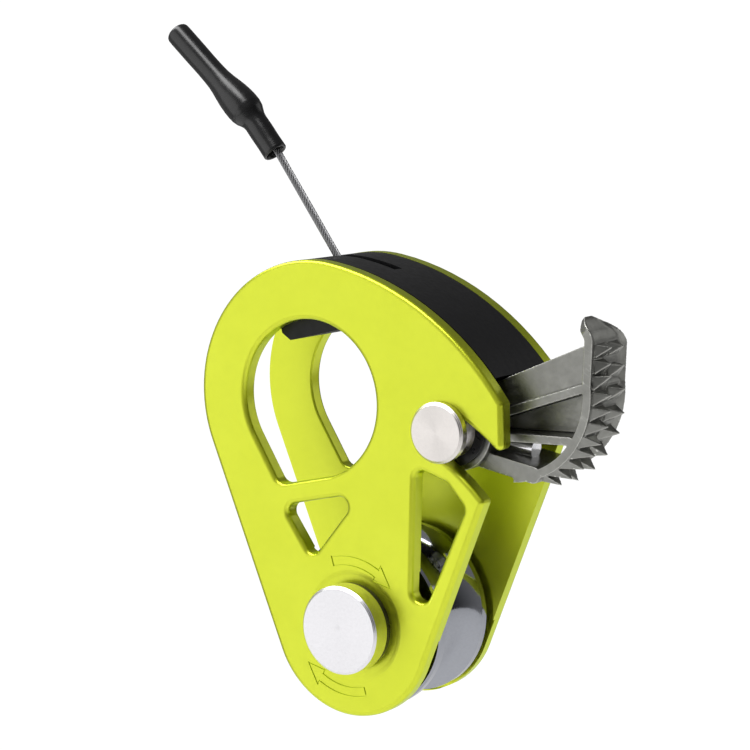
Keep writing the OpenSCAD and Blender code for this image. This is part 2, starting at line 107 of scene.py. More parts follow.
def make_light():
    """A white backdrop for the camera, and a room that is brighter on one side for everything else."""
    world = bpy.data.worlds.new("studio")
    bpy.context.scene.world = world
    world.use_nodes = True
    tree = world.node_tree
    tree.nodes.clear()
    out = tree.nodes.new("ShaderNodeOutputWorld")
    mix = tree.nodes.new("ShaderNodeMixShader")
    path = tree.nodes.new("ShaderNodeLightPath")
    seen = tree.nodes.new("ShaderNodeBackground")
    fill = tree.nodes.new("ShaderNodeBackground")
    seen.inputs["Color"].default_value = (1, 1, 1, 1)
    seen.inputs["Strength"].default_value = BACKDROP
    place = tree.nodes.new("ShaderNodeTexCoord").outputs["Generated"]
    side = tree.nodes.new("ShaderNodeVectorMath")
    side.operation = "DOT_PRODUCT"
    side.inputs[1].default_value = BRIGHT_SIDE
    tree.links.new(place, side.inputs[0])
    ramp = tree.nodes.new("ShaderNodeMapRange")
    ramp.inputs["From Min"].default_value, ramp.inputs["From Max"].default_value = FILL_RAMP
    ramp.inputs["To Min"].default_value = DARK_FILL
    ramp.inputs["To Max"].default_value = BRIGHT_FILL
    tree.links.new(side.outputs["Value"], ramp.inputs["Value"])
    tree.links.new(ramp.outputs["Result"], fill.inputs["Strength"])
    tree.links.new(path.outputs["Is Camera Ray"], mix.inputs["Fac"])
    tree.links.new(fill.outputs[0], mix.inputs[1])
    tree.links.new(seen.outputs[0], mix.inputs[2])
    tree.links.new(mix.outputs[0], out.inputs["Surface"])
    for lamp in LAMPS:
        soft_light(*lamp)


def make_floor():
    bm = bmesh.new()
    bmesh.ops.create_circle(bm, cap_ends=True, segments=96, radius=FLOOR_R)
    mesh = bpy.data.meshes.new("floor")
    bm.to_mesh(mesh)
    bm.free()
    floor = bpy.data.objects.new("floor", mesh)
    floor.location.z = FLOOR_Z
    bpy.context.scene.collection.objects.link(floor)
    sockets = {
        "Base Color": (0.93, 0.93, 0.93, 1),
        "Roughness": 0.8,
        "Emission Color": (1, 1, 1, 1),
        "Emission Strength": FLOOR_GLOW,
    }
    look = Look("floor_paper", sockets)
    look.bump(look.noise(900, 3), strength=0.1, distance=0.1 * MM)
    mesh.materials.append(look.mat)


# ---------- materials ----------


class Look:
    """A Principled material, with short calls for the nodes that vary it over the surface."""

    def __init__(self, name, sockets):
        self.mat = bpy.data.materials.new(name)
        self.mat.use_nodes = True
        self.tree = self.mat.node_tree
        self.shader = self.tree.nodes["Principled BSDF"]
        for key, value in sockets.items():
            self.shader.inputs[key].default_value = value
        self.place = self.node("ShaderNodeTexCoord").outputs["Object"]
        self.normal = None

    def node(self, kind, links=None, values=None, **settings):
        made = self.tree.nodes.new(kind)
        for key, value in settings.items():
            setattr(made, key, value)
        for key, value in (values or {}).items():
            made.inputs[key].default_value = value
        for key, source in (links or {}).items():
            self.tree.links.new(source, made.inputs[key])
        return made

    def noise(self, scale, detail):
        values = {"Scale": scale, "Detail": detail}
        return self.node("ShaderNodeTexNoise", {"Vector": self.place}, values).outputs["Fac"]

    def span(self, source, low, high):
        """Stretches the middle of a 0 to 1 source over low to high."""
        values = {"From Min": 0.3, "From Max": 0.7, "To Min": low, "To Max": high}
        return self.node("ShaderNodeMapRange", {"Value": source}, values).outputs["Result"]

    def blend(self, factor, a, b):
        """Mixes two colours; the first may also be the output of another node."""
        # Inputs 6 and 7 and output 2 of this node are the colours, the others are for other types
        made = self.node("ShaderNodeMix", {0: factor}, data_type="RGBA")
        if isinstance(a, bpy.types.NodeSocket):
            self.tree.links.new(a, made.inputs[6])
        else:
            made.inputs[6].default_value = (*a, 1)
        made.inputs[7].default_value = (*b, 1)
        return made.outputs[2]

    def bump(self, height, strength, distance):
        links = {"Height": height}
        if self.normal:
            links["Normal"] = self.normal
        made = self.node("ShaderNodeBump", links, {"Strength": strength, "Distance": distance})
        self.normal = made.outputs["Normal"]
        self.set("Normal", self.normal)

    def set(self, socket, source):
        self.tree.links.new(source, self.shader.inputs[socket])


def lime_look():
    sockets = {
        "Metallic": 0.97,
        "Specular Tint": (0.62, 0.78, 0.03, 1),
        "Coat Weight": 0.75,
        "Coat Roughness": 0.25,
    }
    look = Look("lime_anodised", sockets)
    cloud = look.span(look.noise(90, 3), 0, 1)
    look.set("Base Color", look.blend(cloud, (0.675, 0.76, 0.022), (0.715, 0.8, 0.03)))
    look.set("Roughness", look.span(look.noise(1400, 4), 0.34, 0.42))
    look.bump(look.noise(5200, 3), strength=0.12, distance=0.02 * MM)
    return look.mat


def steel_look(name, colour, roughness):
    look = Look(name, {"Metallic": 1.0})
    dark = [c * 0.86 for c in colour]
    look.set("Base Color", look.blend(look.span(look.noise(700, 4), 0, 1), dark, colour))
    look.set("Roughness", look.span(look.noise(1800, 3), roughness * 0.8, roughness * 1.2))
    look.bump(look.noise(6000, 2), strength=0.1, distance=0.02 * MM)
    return look.mat


def turned_look(name, colour, roughness, centre, pitch, brushed=0.7):
    """Metal faced on a lathe: fine rings about an axis along Y through the centre, stretched glints."""
    look = Look(name, {"Metallic": 1.0, "Anisotropic": brushed})
    shift = look.node("ShaderNodeMapping", {"Vector": look.place}, {"Location": [-c for c in centre]})
    rings = look.node(
        "ShaderNodeTexWave",
        {"Vector": shift.outputs[0]},
        {"Scale": math.pi / 10 / pitch, "Distortion": 0.8, "Detail": 2, "Detail Scale": 0.4},
        wave_type="RINGS",
        rings_direction="Y",
    ).outputs["Fac"]
    look.set("Tangent", look.node("ShaderNodeTangent", direction_type="RADIAL", axis="Y").outputs[0])
    look.set("Roughness", look.span(rings, roughness * 0.8, roughness * 1.2))
    dark = [c * 0.94 for c in colour]
    look.set("Base Color", look.blend(look.span(look.noise(2600, 4), 0, 1), dark, colour))
    look.bump(rings, strength=0.05, distance=0.004 * MM)
    return look.mat


def cast_look(name, painted_hollow_shade, flat, painted_edge_highlight):
    """Cast steel, with painted shade darkening its hollows and a painted highlight brightening its
    edges.
    """
    look = Look(name, {"Metallic": 1.0})
    point = look.node("ShaderNodeNewGeometry").outputs["Pointiness"]
    # Mask for the painted highlight: the convex edges, picked out by pointiness
    edge = look.node("ShaderNodeMapRange", {"Value": point}, {"From Min": 0.505, "From Max": 0.58})
    # Mask for the painted shade: the concave hollows, picked out by pointiness
    painted_shade_mask = look.node("ShaderNodeMapRange", {"Value": point}, {"From Min": 0.495, "From Max": 0.45})
    cloud = look.blend(look.span(look.noise(500, 4), 0, 1), [c * 0.8 for c in flat], flat)
    # Paints a highlight on the edges and shade in the hollows over the cast steel's own uneven tone
    for factor, colour in ((edge, painted_edge_highlight), (painted_shade_mask, painted_hollow_shade)):
        cloud = look.blend(factor.outputs["Result"], cloud, colour)
    look.set("Base Color", cloud)
    look.set("Roughness", look.span(look.noise(1500, 3), 0.3, 0.44))
    look.bump(look.noise(3200, 3), strength=0.35, distance=0.03 * MM)
    return look.mat


def plastic_look(name, colour, roughness, grain_scale, grain=0.25, gloss=0.4):
    look = Look(name, {"IOR": 1.5, "Specular IOR Level": gloss})
    lighter = [c * 1.6 for c in colour]
    look.set("Base Color", look.blend(look.span(look.noise(400, 3), 0, 1), colour, lighter))
    look.set("Roughness", look.span(look.noise(1200, 3), roughness * 0.85, roughness * 1.15))
    look.bump(look.noise(grain_scale, 3), strength=grain, distance=0.03 * MM)
    return look.mat


def dress(names, look):
    for name in names:
        slots = nodes[name].data.materials
        slots.clear()
        slots.append(look)


# ---------- outlines ----------
# From here on lengths are in millimetres, and outlines lie in the plane of X and Z.

STEP = math.radians(3)
SAME_POINT = 0.02


def arc(centre, radius, start, end):
    """Points on an arc from one angle to another, in radians; it turns whichever way end lies."""
    count = max(2, math.ceil(abs(end - start) / STEP) + 1)
    turns = [start + (end - start) * i / (count - 1) for i in range(count)]
    return [(centre[0] + radius * math.cos(t), centre[1] + radius * math.sin(t)) for t in turns]


def tangent_angle(a, b):
    """Direction of the outer tangent point on disc a towards disc b, walking counter-clockwise."""
    dx, dy = b[0] - a[0], b[1] - a[1]
    return math.atan2(dy, dx) - math.pi / 2 - math.asin((b[2] - a[2]) / math.hypot(dx, dy))


def unwind(start, end):
    """The angle equal to end that lies within one turn after start."""
    while end < start:
        end += 2 * math.pi
    while end >= start + 2 * math.pi:
        end -= 2 * math.pi
    return end


def belt(discs):
    """Outline round discs (x, z, radius) listed counter-clockwise."""
    points = []
    count = len(discs)
    for i, disc in enumerate(discs):
        start = tangent_angle(discs[i - 1], disc)
        end = unwind(start, tangent_angle(disc, discs[(i + 1) % count]))
        points += arc(disc, disc[2], start, end)
    return points


def polar(radius, angle):
    return (radius * math.cos(angle), radius * math.sin(angle))


def on_circle(centre, radius, angle):
    x, z = polar(radius, angle)
    return (centre[0] + x, centre[1] + z)


def spread(points, longest=3):
    """Splits long straight runs so that faces stay regular, and drops points that nearly repeat."""
    points = [p for i, p in enumerate(points) if math.dist(p, points[i - 1]) > SAME_POINT]
    out = []
    for a, b in zip(points, points[1:] + points[:1]):
        parts = max(1, math.ceil(math.dist(a, b) / longest))
        dx, dy = b[0] - a[0], b[1] - a[1]
        out += [(a[0] + dx * k / parts, a[1] + dy * k / parts) for k in range(parts)]
    return out


# ---------- meshes ----------

Y_AXIS = Vector((0, 1, 0))
SAME_VERTEX = 1e-7
# A face whose normal lies this close to Y counts as flat
FLAT = 0.99
# Keeps sharp corners short when an edge is rounded or an outline is moved; lower is longer
EDGE_MITRE = 0.3
GROOVE_MITRE = 0.4


def corner_pushes(points, mitre):
    """How far each corner of a counter-clockwise outline moves when the outline grows by 1."""
    pushes = []
    for i, p in enumerate(points):
        ahead = (Vector(points[(i + 1) % len(points)]) - Vector(p)).normalized()
        behind = (Vector(p) - Vector(points[i - 1])).normalized()
        outward = Vector((ahead.y + behind.y, -ahead.x - behind.x))
        outward /= max(mitre, outward.length_squared / 2)
        pushes.append(outward)
    return pushes


def solid_slab(loops, y0, y1, steps=4):
    """Vertices and faces of a slab in millimetres. Each loop is (points, front round, back round);
    the outer one is counter-clockwise and the holes clockwise, so the material lies to their left."""
    verts, faces, first, last = [], [], [], []
    for points, front, back in loops:
        count = len(points)
        pushes = corner_pushes(points, EDGE_MITRE)
        rings = [(inset, y0 + rise) for inset, rise in edge_round(front, steps)]
        rings += [(inset, y1 - rise) for inset, rise in reversed(edge_round(back, steps))]
        start = len(verts)
        for inset, y in rings:
            verts += [(p[0] - q.x * inset, y, p[1] - q.y * inset) for p, q in zip(points, pushes)]
        for k in range(len(rings) - 1):
            for i in range(count):
                a, b = start + k * count + i, start + k * count + (i + 1) % count
                faces.append((a, b, b + count, a + count))
        first.append(range(start, start + count))
        last.append(range(start + (len(rings) - 1) * count, start + len(rings) * count))
    for ends in (first, last):
        flat = [[Vector((verts[i][0], verts[i][2], 0)) for i in loop] for loop in ends]
        index = [i for loop in ends for i in loop]
        faces += [tuple(index[k] for k in tri) for tri in tessellate_polygon(flat)]
    return verts, faces


def edge_round(radius, steps):
    """Inset and rise of each ring on a rounded edge, from the flat face to the side."""
    if radius == 0:
        return [(0, 0)]
    turns = [math.pi / 2 * k / steps for k in range(steps + 1)]
    return [(radius * (1 - math.sin(t)), radius * (1 - math.cos(t))) for t in turns]


def solid_turned(profile, centre=(0, 0), segments=96):
    """Turns a closed profile of (radius, y) about an axis along Y; the profile may touch the axis."""
    verts, faces, rings = [], [], []
    for radius, y in profile:
        if radius < 1e-6:
            rings.append([len(verts)] * segments)
            verts.append((centre[0], y, centre[1]))
            continue
        rings.append(range(len(verts), len(verts) + segments))
        for k in range(segments):
            x, z = polar(radius, 2 * math.pi * k / segments)
            verts.append((centre[0] + x, y, centre[1] + z))
    for a, b in zip(rings, rings[1:] + rings[:1]):
        for k in range(segments):
            after = (k + 1) % segments
            face = list(dict.fromkeys((a[k], a[after], b[after], b[k])))
            if len(face) > 2:
                faces.append(face)
    return verts, faces


def tube_faces(rings, sides):
    """Faces between equal rings of vertices, and one face over each end."""
    faces = []
    for i in range(rings - 1):
        for k in range(sides):
            a, b = i * sides + k, i * sides + (k + 1) % sides
            faces.append((a, b, b + sides, a + sides))
    faces.append(tuple(range(sides)))
    faces.append(tuple(range((rings - 1) * sides, rings * sides)))
    return faces


def solid_tube(path, radii, sides=24):
    """A closed tube along points in space, with a radius at each point."""
    verts = []
    points = [Vector(p) for p in path]
    side = Y_AXIS
    for i, p in enumerate(points):
        along = (points[min(i + 1, len(points) - 1)] - points[max(i - 1, 0)]).normalized()
        side = (side - along * side.dot(along)).normalized()
        other = along.cross(side)
        for k in range(sides):
            a = 2 * math.pi * k / sides
            verts.append(tuple(p + radii[i] * (side * math.cos(a) + other * math.sin(a))))
    return verts, tube_faces(len(points), sides)


def joined(*solids):
    verts, faces = [], []
    for more_verts, more_faces in solids:
        start = len(verts)
        verts += more_verts
        faces += [tuple(i + start for i in face) for face in more_faces]
    return verts, faces


def mesh_object(name, solid):
    verts, faces = solid
    mesh = bpy.data.meshes.new(name)
    mesh.from_pydata([(x * MM, y * MM, z * MM) for x, y, z in verts], [], faces)
    bm = bmesh.new()
    bm.from_mesh(mesh)
    bmesh.ops.remove_doubles(bm, verts=bm.verts, dist=SAME_VERTEX)
    bmesh.ops.recalc_face_normals(bm, faces=bm.faces)
    bm.to_mesh(mesh)
    bm.free()
    obj = bpy.data.objects.new(name, mesh)
    bpy.context.scene.collection.objects.link(obj)
    return obj


def bake_modifiers(obj):
    graph = bpy.context.evaluated_depsgraph_get()
    graph.update()
    made = bpy.data.meshes.new_from_object(obj.evaluated_get(graph))
    obj.modifiers.clear()
    obj.data = made


def carve(obj, *cuts):
    """Cuts each solid out of the object."""
    cutters = [mesh_object("cutter", cut) for cut in cuts]
    for cutter in cutters:
        step = obj.modifiers.new("cut", "BOOLEAN")
        step.object = cutter
        step.operation = "DIFFERENCE"
        step.solver = "EXACT"
    bake_modifiers(obj)
    for cutter in cutters:
        bpy.data.objects.remove(cutter)


def finish_piece(obj, look, body, slot, *stands_for, sharp=32):
    """Gives a piece its look, its shading and its body, and hides the CAD nodes that it replaces. The
    slot is not used.
    """
    obj.data.materials.clear()
    obj.data.materials.append(look)
    for face in obj.data.polygons:
        face.use_smooth = True
    obj.data.set_sharp_from_angle(angle=math.radians(sharp))
    even = obj.modifiers.new("even", "WEIGHTED_NORMAL")
    even.keep_sharp = True
    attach(obj, body)
    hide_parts(*stands_for)


def keep_faces_flat(obj):
    """Parts the faces square to Y from the rounds beside them, so that their shading stays level."""
    bm = bmesh.new()
    bm.from_mesh(obj.data)
    for edge in bm.edges:
        if len({abs(face.normal.y) > FLAT for face in edge.link_faces}) > 1:
            edge.smooth = False
    bm.to_mesh(obj.data)
    bm.free()


# ---------- plates ----------

GAP = 14.2
PLATE = 2.5
INNER = GAP / 2
OUTER = INNER + PLATE
POCKET = INNER + 0.5
POCKET_R = 13.2
# Discs (x, z, radius) that the plates' outline runs round
FOOT = (-0.9, 0, 13.3)
LOBE = (24.85, 14.6, 0.73)
CHIN = (29.8, 22.0, 0.8)
CROWN = (0.5, 33, 19.9)
BROW_R = 43.6
BROW_AIM = math.atan2(0.921, 0.39)
NOSE_R = 0.8
NOSE_AIM = math.radians(22.1)
PIN_REACH = 32.9
PIN_TURN = math.radians(90 - 40.3)
PIN = polar(PIN_REACH, PIN_TURN)
SLOT_HALF = 3.35
EYE = [(0, 33, 11.5), (-7.1, 23.3, 1.7)]
SMALL_WINDOW = [(-6.4, 17.2, 1.4), (-4.6, 12.2, 1.2), (1.5, 17.1, 1.4)]
RIGHT_WINDOW = [(12.5, 3.4, 1.5), (20.75, 14.2, 1.5), (19.2, 17, 1.5), (16.4, 19, 1.2)]
BUSH_R = 5.3
AXLE_R = 4
PIN_R = 3
SCREWS = ((1, 47.7), (14.6, 42.4), (24, 34.6))
SCREW_R = 1.27
SCREW_HEAD_R = 2.13
SCREW_HEAD_T = 1.3
EDGE = 0.7
INNER_EDGE = 0.3
# Radius and depth of each step of the dished face, from its rim inwards
DISH = ((8.1, -0.01), (7.9, 0.02), (7.4, 0.11), (6.9, 0.16))
# How far a cutter runs past the face that it opens
PAST = 1


def brow_centre(radius):
    """The brow arc touches the crown arc from inside, in the direction BROW_AIM."""
    back = polar(radius - CROWN[2], BROW_AIM)
    return (CROWN[0] - back[0], CROWN[1] - back[1])


BROW_C = brow_centre(BROW_R)
NOSE = (*on_circle(BROW_C, BROW_R - NOSE_R, NOSE_AIM), NOSE_R)


def brow_and_crown():
    """Outline from the nose over the brow and the crown, as far as the left side."""
    nose_start = tangent_angle(CHIN, NOSE)
    crown_end = unwind(BROW_AIM, tangent_angle(CROWN, FOOT))
    return (
        arc(NOSE, NOSE_R, nose_start, unwind(nose_start, NOSE_AIM))
        + arc(BROW_C, BROW_R, NOSE_AIM, BROW_AIM)[1:]
        + arc(CROWN, CROWN[2], BROW_AIM, crown_end)
    )


def foot_and_lobe(lobe_end):
    foot_start = tangent_angle(CROWN, FOOT)
    foot_end = unwind(foot_start, tangent_angle(FOOT, LOBE))
    lobe_start = tangent_angle(FOOT, LOBE)
    return arc(FOOT, FOOT[2], foot_start, foot_end) + arc(LOBE, LOBE[2], lobe_start, lobe_end)


def plain_outline():
    chin_start = tangent_angle(LOBE, CHIN)
    chin_end = unwind(chin_start, tangent_angle(CHIN, NOSE))
    return foot_and_lobe(chin_start) + arc(CHIN, CHIN[2], chin_start, chin_end) + brow_and_crown()


def hooked_outline():
    """The swinging plate's outline, with the slot that hooks it behind the cam pin's head."""
    lobe_turn = math.atan2(LOBE[1], LOBE[0])
    chin_turn = math.atan2(CHIN[1], CHIN[0])
    inner = PIN_REACH - SLOT_HALF
    outer = PIN_REACH + SLOT_HALF
    chin_end = unwind(chin_turn + math.pi, tangent_angle(CHIN, NOSE))
    return (
        foot_and_lobe(lobe_turn)
        + arc((0, 0), inner, lobe_turn, PIN_TURN)
        + arc(PIN, SLOT_HALF, PIN_TURN + math.pi, PIN_TURN)
        + arc((0, 0), outer, PIN_TURN, chin_turn)
        + arc(CHIN, CHIN[2], chin_turn + math.pi, chin_end)
        + brow_and_crown()
    )


def hole(points, front, back):
    return (points[::-1], front, back)


def ring(radius, centre=(0, 0)):
    return arc(centre, radius, 0, 2 * math.pi)[:-1]


ARROW_CENTRE = (-0.9, 0)
ARROW_R = 9.6
ARROW_HALF = 0.64
ARROW_BARB = 1.33
ARROW_SWEEP = math.radians(47.5)
ARROW_HEAD = math.radians(17.5)
ARROW_STARTS = (93.3, -86.7)
GROOVE = 0.2
GROOVE_DEPTH = 0.16


def arrow_groove(start):
    """Engraved outline of a clockwise arrow that starts at an angle."""
    neck = start - ARROW_SWEEP
    outline = arc(ARROW_CENTRE, ARROW_R - ARROW_HALF, start, neck)
    outline.append(on_circle(ARROW_CENTRE, ARROW_R - ARROW_BARB, neck))
    outline.append(on_circle(ARROW_CENTRE, ARROW_R, neck - ARROW_HEAD))
    outline.append(on_circle(ARROW_CENTRE, ARROW_R + ARROW_BARB, neck))
    outline += arc(ARROW_CENTRE, ARROW_R + ARROW_HALF, neck, start)
    wide = shifted(outline, GROOVE / 2)
    narrow = shifted(outline, -GROOVE / 2)
    return solid_slab([(wide, 0, 0), (narrow[::-1], 0, 0)], -OUTER - PAST, -OUTER + GROOVE_DEPTH)


def shifted(points, by):
    """A closed counter-clockwise outline moved outwards."""
    pushes = corner_pushes(points, GROOVE_MITRE)
    return [(p[0] + push.x * by, p[1] + push.y * by) for p, push in zip(points, pushes)]


def make_back_plate(look):
    holes = [hole(spread(belt(discs)), INNER_EDGE, EDGE) for discs in (EYE, SMALL_WINDOW)]
    holes += [hole(ring(AXLE_R), 0, 0), hole(ring(PIN_R, PIN), 0, 0)]
    plate = mesh_object(
        "back_plate_shell",
        solid_slab([(spread(plain_outline()), 0, EDGE)] + holes, INNER, OUTER),
    )
    pocket = [(0, INNER - PAST), (POCKET_R, INNER - PAST), (POCKET_R, POCKET), (0, POCKET)]
    sunk = [(0, OUTER + PAST), (SCREW_HEAD_R, OUTER + PAST), (SCREW_HEAD_R, OUTER)]
    sunk += [(SCREW_R, OUTER - SCREW_HEAD_T), (SCREW_R, INNER - PAST), (0, INNER - PAST)]
    carve(plate, solid_turned(pocket), *(solid_turned(sunk, at, 48) for at in SCREWS))
    finish_piece(plate, look, "frame", "plate_lime", "back_plate")
    keep_faces_flat(plate)


def make_front_plate(look):
    windows = (EYE, SMALL_WINDOW, RIGHT_WINDOW)
    holes = [hole(spread(belt(discs)), EDGE, INNER_EDGE) for discs in windows]
    holes.append(hole(ring(BUSH_R), 0, 0))
    plate = mesh_object(
        "front_plate_shell",
        solid_slab([(spread(hooked_outline()), EDGE, INNER_EDGE)] + holes, -OUTER, -INNER),
    )
    pocket = [(0, -POCKET), (POCKET_R, -POCKET), (POCKET_R, -INNER + PAST), (0, -INNER + PAST)]
    dish = [(0, -OUTER - PAST), (DISH[0][0], -OUTER - PAST)]
    dish += [(radius, -OUTER + depth) for radius, depth in DISH]
    dish.append((0, -OUTER + DISH[-1][1]))
    arrows = [arrow_groove(math.radians(start)) for start in ARROW_STARTS]
    carve(plate, solid_turned(pocket), solid_turned(dish), *arrows)
    finish_piece(plate, look, "swing_plate", "plate_lime", "front_plate")
    keep_faces_flat(plate)


# ---------- spacer ----------

# The cam's top rib: the spacer's edge runs beside it
TOP_RIB = ((25.25, 29.2), (43.1, 32.3))
RIB_W = 1.2
RIB_GAP = 0.3
SPACER_INSET = 0.03
FACE_GAP = 0.1
HUB_ROOM = 6.8
HUB_FLANK = (15.1, 28)
EYE_FLANK = ((-3, 41.9), (8.6, 41.9), (13.6, 36))
LEFT_END = (-4.2, 43.2)
# Outline of the slot that holds the wire: it is open at the top and runs down to the cam's hub
WIRE_WAY = (
    (4.6, 60), (4.2, 48.6), (10, 46.6), (13, 43.8), (24.2, 26), (29.4, 30), (13.3, 47.9), (12.3, 60),
)
WAY_HALF = 1.0
WIRE_EXIT = Vector((2.9, 0, 53.3))
BORE_DEPTH = 11.3
BORE_PAST = 3
WIRE_GAP = 0.2
WIRE_LEAN = math.radians(22)
WIRE_DIR = Vector((-math.sin(WIRE_LEAN), 0, math.cos(WIRE_LEAN)))
WIRE_R = 0.55


def circle_crossing(centre, radius, a, b):
    """Where the line from a through b leaves the circle."""
    start, way = Vector(a) - Vector(centre), (Vector(b) - Vector(a)).normalized()
    along = -start.dot(way)
    reach = math.sqrt(radius**2 - (start + way * along).length_squared)
    point = Vector(a) + way * (along + reach)
    return (point.x, point.y)


def turn_of(point, centre):
    return math.atan2(point[1] - centre[1], point[0] - centre[0])


def spacer_outline():
    slope = (Vector(TOP_RIB[1]) - Vector(TOP_RIB[0])).normalized()
    lift = Vector((-slope.y, slope.x)) * (RIB_W / 2 + RIB_GAP)
    a, b = (tuple(Vector(p) + lift) for p in TOP_RIB)
    brow_r = BROW_R - SPACER_INSET
    hub_exit = circle_crossing(PIN, HUB_ROOM, a, b)
    brow_meet = circle_crossing(BROW_C, brow_r, a, b)
    crown_r = CROWN[2] - SPACER_INSET
    left = math.acos((LEFT_END[0] - CROWN[0]) / crown_r)
    return (
        list(EYE_FLANK)
        + arc(PIN, HUB_ROOM, turn_of(HUB_FLANK, PIN), turn_of(hub_exit, PIN))
        + arc(BROW_C, brow_r, turn_of(brow_meet, BROW_C), BROW_AIM)
        + arc(CROWN, crown_r, BROW_AIM, left)
        + [LEFT_END]
    )


def make_spacer(look):
    loops = [(spread(spacer_outline()), 0, 0)]
    spacer = mesh_object("top_spacer_body", solid_slab(loops, -INNER + FACE_GAP, INNER))
    ends = [WIRE_EXIT - WIRE_DIR * BORE_DEPTH, WIRE_EXIT + WIRE_DIR * BORE_PAST]
    bore = solid_tube(ends, [WIRE_R + WIRE_GAP] * 2)
    carve(spacer, solid_slab([(WIRE_WAY, 0, 0)], -WAY_HALF, WAY_HALF), bore)
    finish_piece(spacer, look, "frame", "spacer_black", "top_spacer")
    keep_faces_flat(spacer)


# ---------- pull wire and grip ----------

GRIP_R = 1.85
GRIP_LOW = 6.5
GRIP_LOW_LEAN = math.radians(26)
GRIP_LEAN = math.radians(34.5)
WIRE_OUT = 17.7
WIRE_IN = 1.5
WIRE_IN_GRIP = 6.0
# How far the sleeve's line starts beside the wire's
GRIP_SIDE = -0.4
STRANDS = 10
STRAND_LAY = 6.5
STRAND_STEP = 0.22
STRAND_SIDES = 8
CORE_OVERLAP = 0.02


def strand(start, way, length, radius, reach, turn=0):
    """One strand of a wire rope, wound about its line; a reach of 0 makes the straight core."""
    other = way.cross(Y_AXIS)
    steps = int(length / STRAND_STEP)
    path = []
    for i in range(steps + 1):
        along = length * i / steps
        a = turn + 2 * math.pi * along / STRAND_LAY
        path.append(start + way * along + reach * (Y_AXIS * math.cos(a) + other * math.sin(a)))
    return solid_tube(path, [radius] * len(path), sides=STRAND_SIDES)


def make_wire(look):
    start = WIRE_EXIT - WIRE_DIR * WIRE_IN
    length = WIRE_IN + WIRE_OUT + WIRE_IN_GRIP
    half_turn = math.sin(math.pi / STRANDS)
    radius = WIRE_R * half_turn / (1 + half_turn)
    turns = [2 * math.pi * k / STRANDS for k in range(STRANDS)]
    strands = [strand(start, WIRE_DIR, length, radius, WIRE_R - radius, turn) for turn in turns]
    strands.append(strand(start, WIRE_DIR, length, WIRE_R - 2 * radius + CORE_OVERLAP, 0))
    wire = mesh_object("pull_wire_strands", joined(*strands))
    finish_piece(wire, look, "pull_body", "wire_steel", "pull_wire", sharp=60)


# Distance along the sleeve and what its radius there has over GRIP_R. The sleeve is open below:
# its first rows lie inside the mouth. Then come the mouth's rim, the neck, the bulge and the end.
GRIP_MOUTH = ((1.8, -0.5), (0.1, -0.42), (0.0, -0.3), (0.0, -0.1), (0.15, 0))
GRIP_NECK = ((2, -0.03), (4, 0), (5.6, -0.02))
GRIP_BULGE = (
    (6.2, 0.06), (6.8, 0.3), (7.4, 0.58), (8.2, 0.76), (9.2, 0.8), (10.2, 0.76),
    (11.4, 0.64), (12.6, 0.44), (13.8, 0.22), (15, 0.06), (16.2, 0),
)
GRIP_END = (
    (18, -0.03), (21, 0), (24.6, 0), (25.2, -0.02), (25.45, -0.1), (25.62, -0.28), (25.7, -0.55),
)
GRIP_BEND = 1.6
GRIP_STEP = 0.25
GRIP_SIDES = 40
TINY = 0.01


def bend_share(past):
    """How much of the sleeve's bend lies behind a point at this distance past its middle."""
    return min(1, max(0, past / GRIP_BEND / 2 + 0.5))


def grip_reach(along):
    """How far along the low and the high part of the sleeve a distance reaches, round a soft bend."""
    past = along - GRIP_LOW
    ease = bend_share(past)
    bend = GRIP_BEND * ease * ease
    if past < GRIP_BEND:
        return along - bend, bend
    return GRIP_LOW, past


def make_grip(look):
    across = Vector((math.cos(WIRE_LEAN), 0, math.sin(WIRE_LEAN)))
    start = WIRE_EXIT + WIRE_DIR * WIRE_OUT + across * GRIP_SIDE
    low = Vector((-math.sin(GRIP_LOW_LEAN), 0, math.cos(GRIP_LOW_LEAN)))
    high = Vector((-math.sin(GRIP_LEAN), 0, math.cos(GRIP_LEAN)))
    rows = GRIP_MOUTH + GRIP_NECK + GRIP_BULGE + GRIP_END
    shape = [(along, GRIP_R + more) for along, more in rows]
    shape = [(shape[0][0], TINY)] + shape + [(shape[-1][0], TINY)]
    path = []
    for along, _ in shape:
        on_low, on_high = grip_reach(along)
        path.append(start + low * on_low + high * on_high)
    points, radii = [], []
    for i in range(len(shape) - 1):
        parts = max(1, round((shape[i + 1][0] - shape[i][0]) / GRIP_STEP))
        for k in range(parts):
            t = k / parts
            points.append(path[i].lerp(path[i + 1], t))
            radii.append(shape[i][1] + (shape[i + 1][1] - shape[i][1]) * t)
    points.append(path[-1])
    radii.append(TINY)
    verts = []
    for p, r in zip(points, radii):
        share = bend_share((p - start).dot(low) - GRIP_LOW)
        other = low.lerp(high, share).normalized().cross(Y_AXIS)
        for k in range(GRIP_SIDES):
            a = 2 * math.pi * k / GRIP_SIDES
            verts.append(tuple(p + r * (Y_AXIS * math.cos(a) + other * math.sin(a))))
    grip = mesh_object("pull_grip_sleeve", (verts, tube_faces(len(points), GRIP_SIDES)))
    finish_piece(grip, look, "pull_body", "grip_black", "pull_grip", sharp=70)


# ---------- cam ----------

CAM_HALF = 6.2
HUB_R = 6
CAM_BORE = 3.95
SPRING_ROOM = (1.3, 4.4)
SHOE_C = (30.5, 28.9)
SHOE_R = 12.8
SHOE_T = 1.3
SHOE_HALF = 5.0
SHOE_FROM = math.radians(-100)
SHOE_TO = math.radians(-8)
SHOE_COLUMNS = 20
SHOE_RIM = 1.3
# The shoe's back bulges by this much along its middle
BACK_BULGE = 0.25
# Depth of the channel at the low end, what it gains upwards and over what length
CHANNEL_LOW = 0.3
CHANNEL_GAIN = 0.35
CHANNEL_RUN = 6
THUMB_LEAN = math.radians(16)
THUMB_LEN = 6.1
CURL_R = 2.6
CURL_TURN = math.radians(54)
LIP_LEN = 2.1
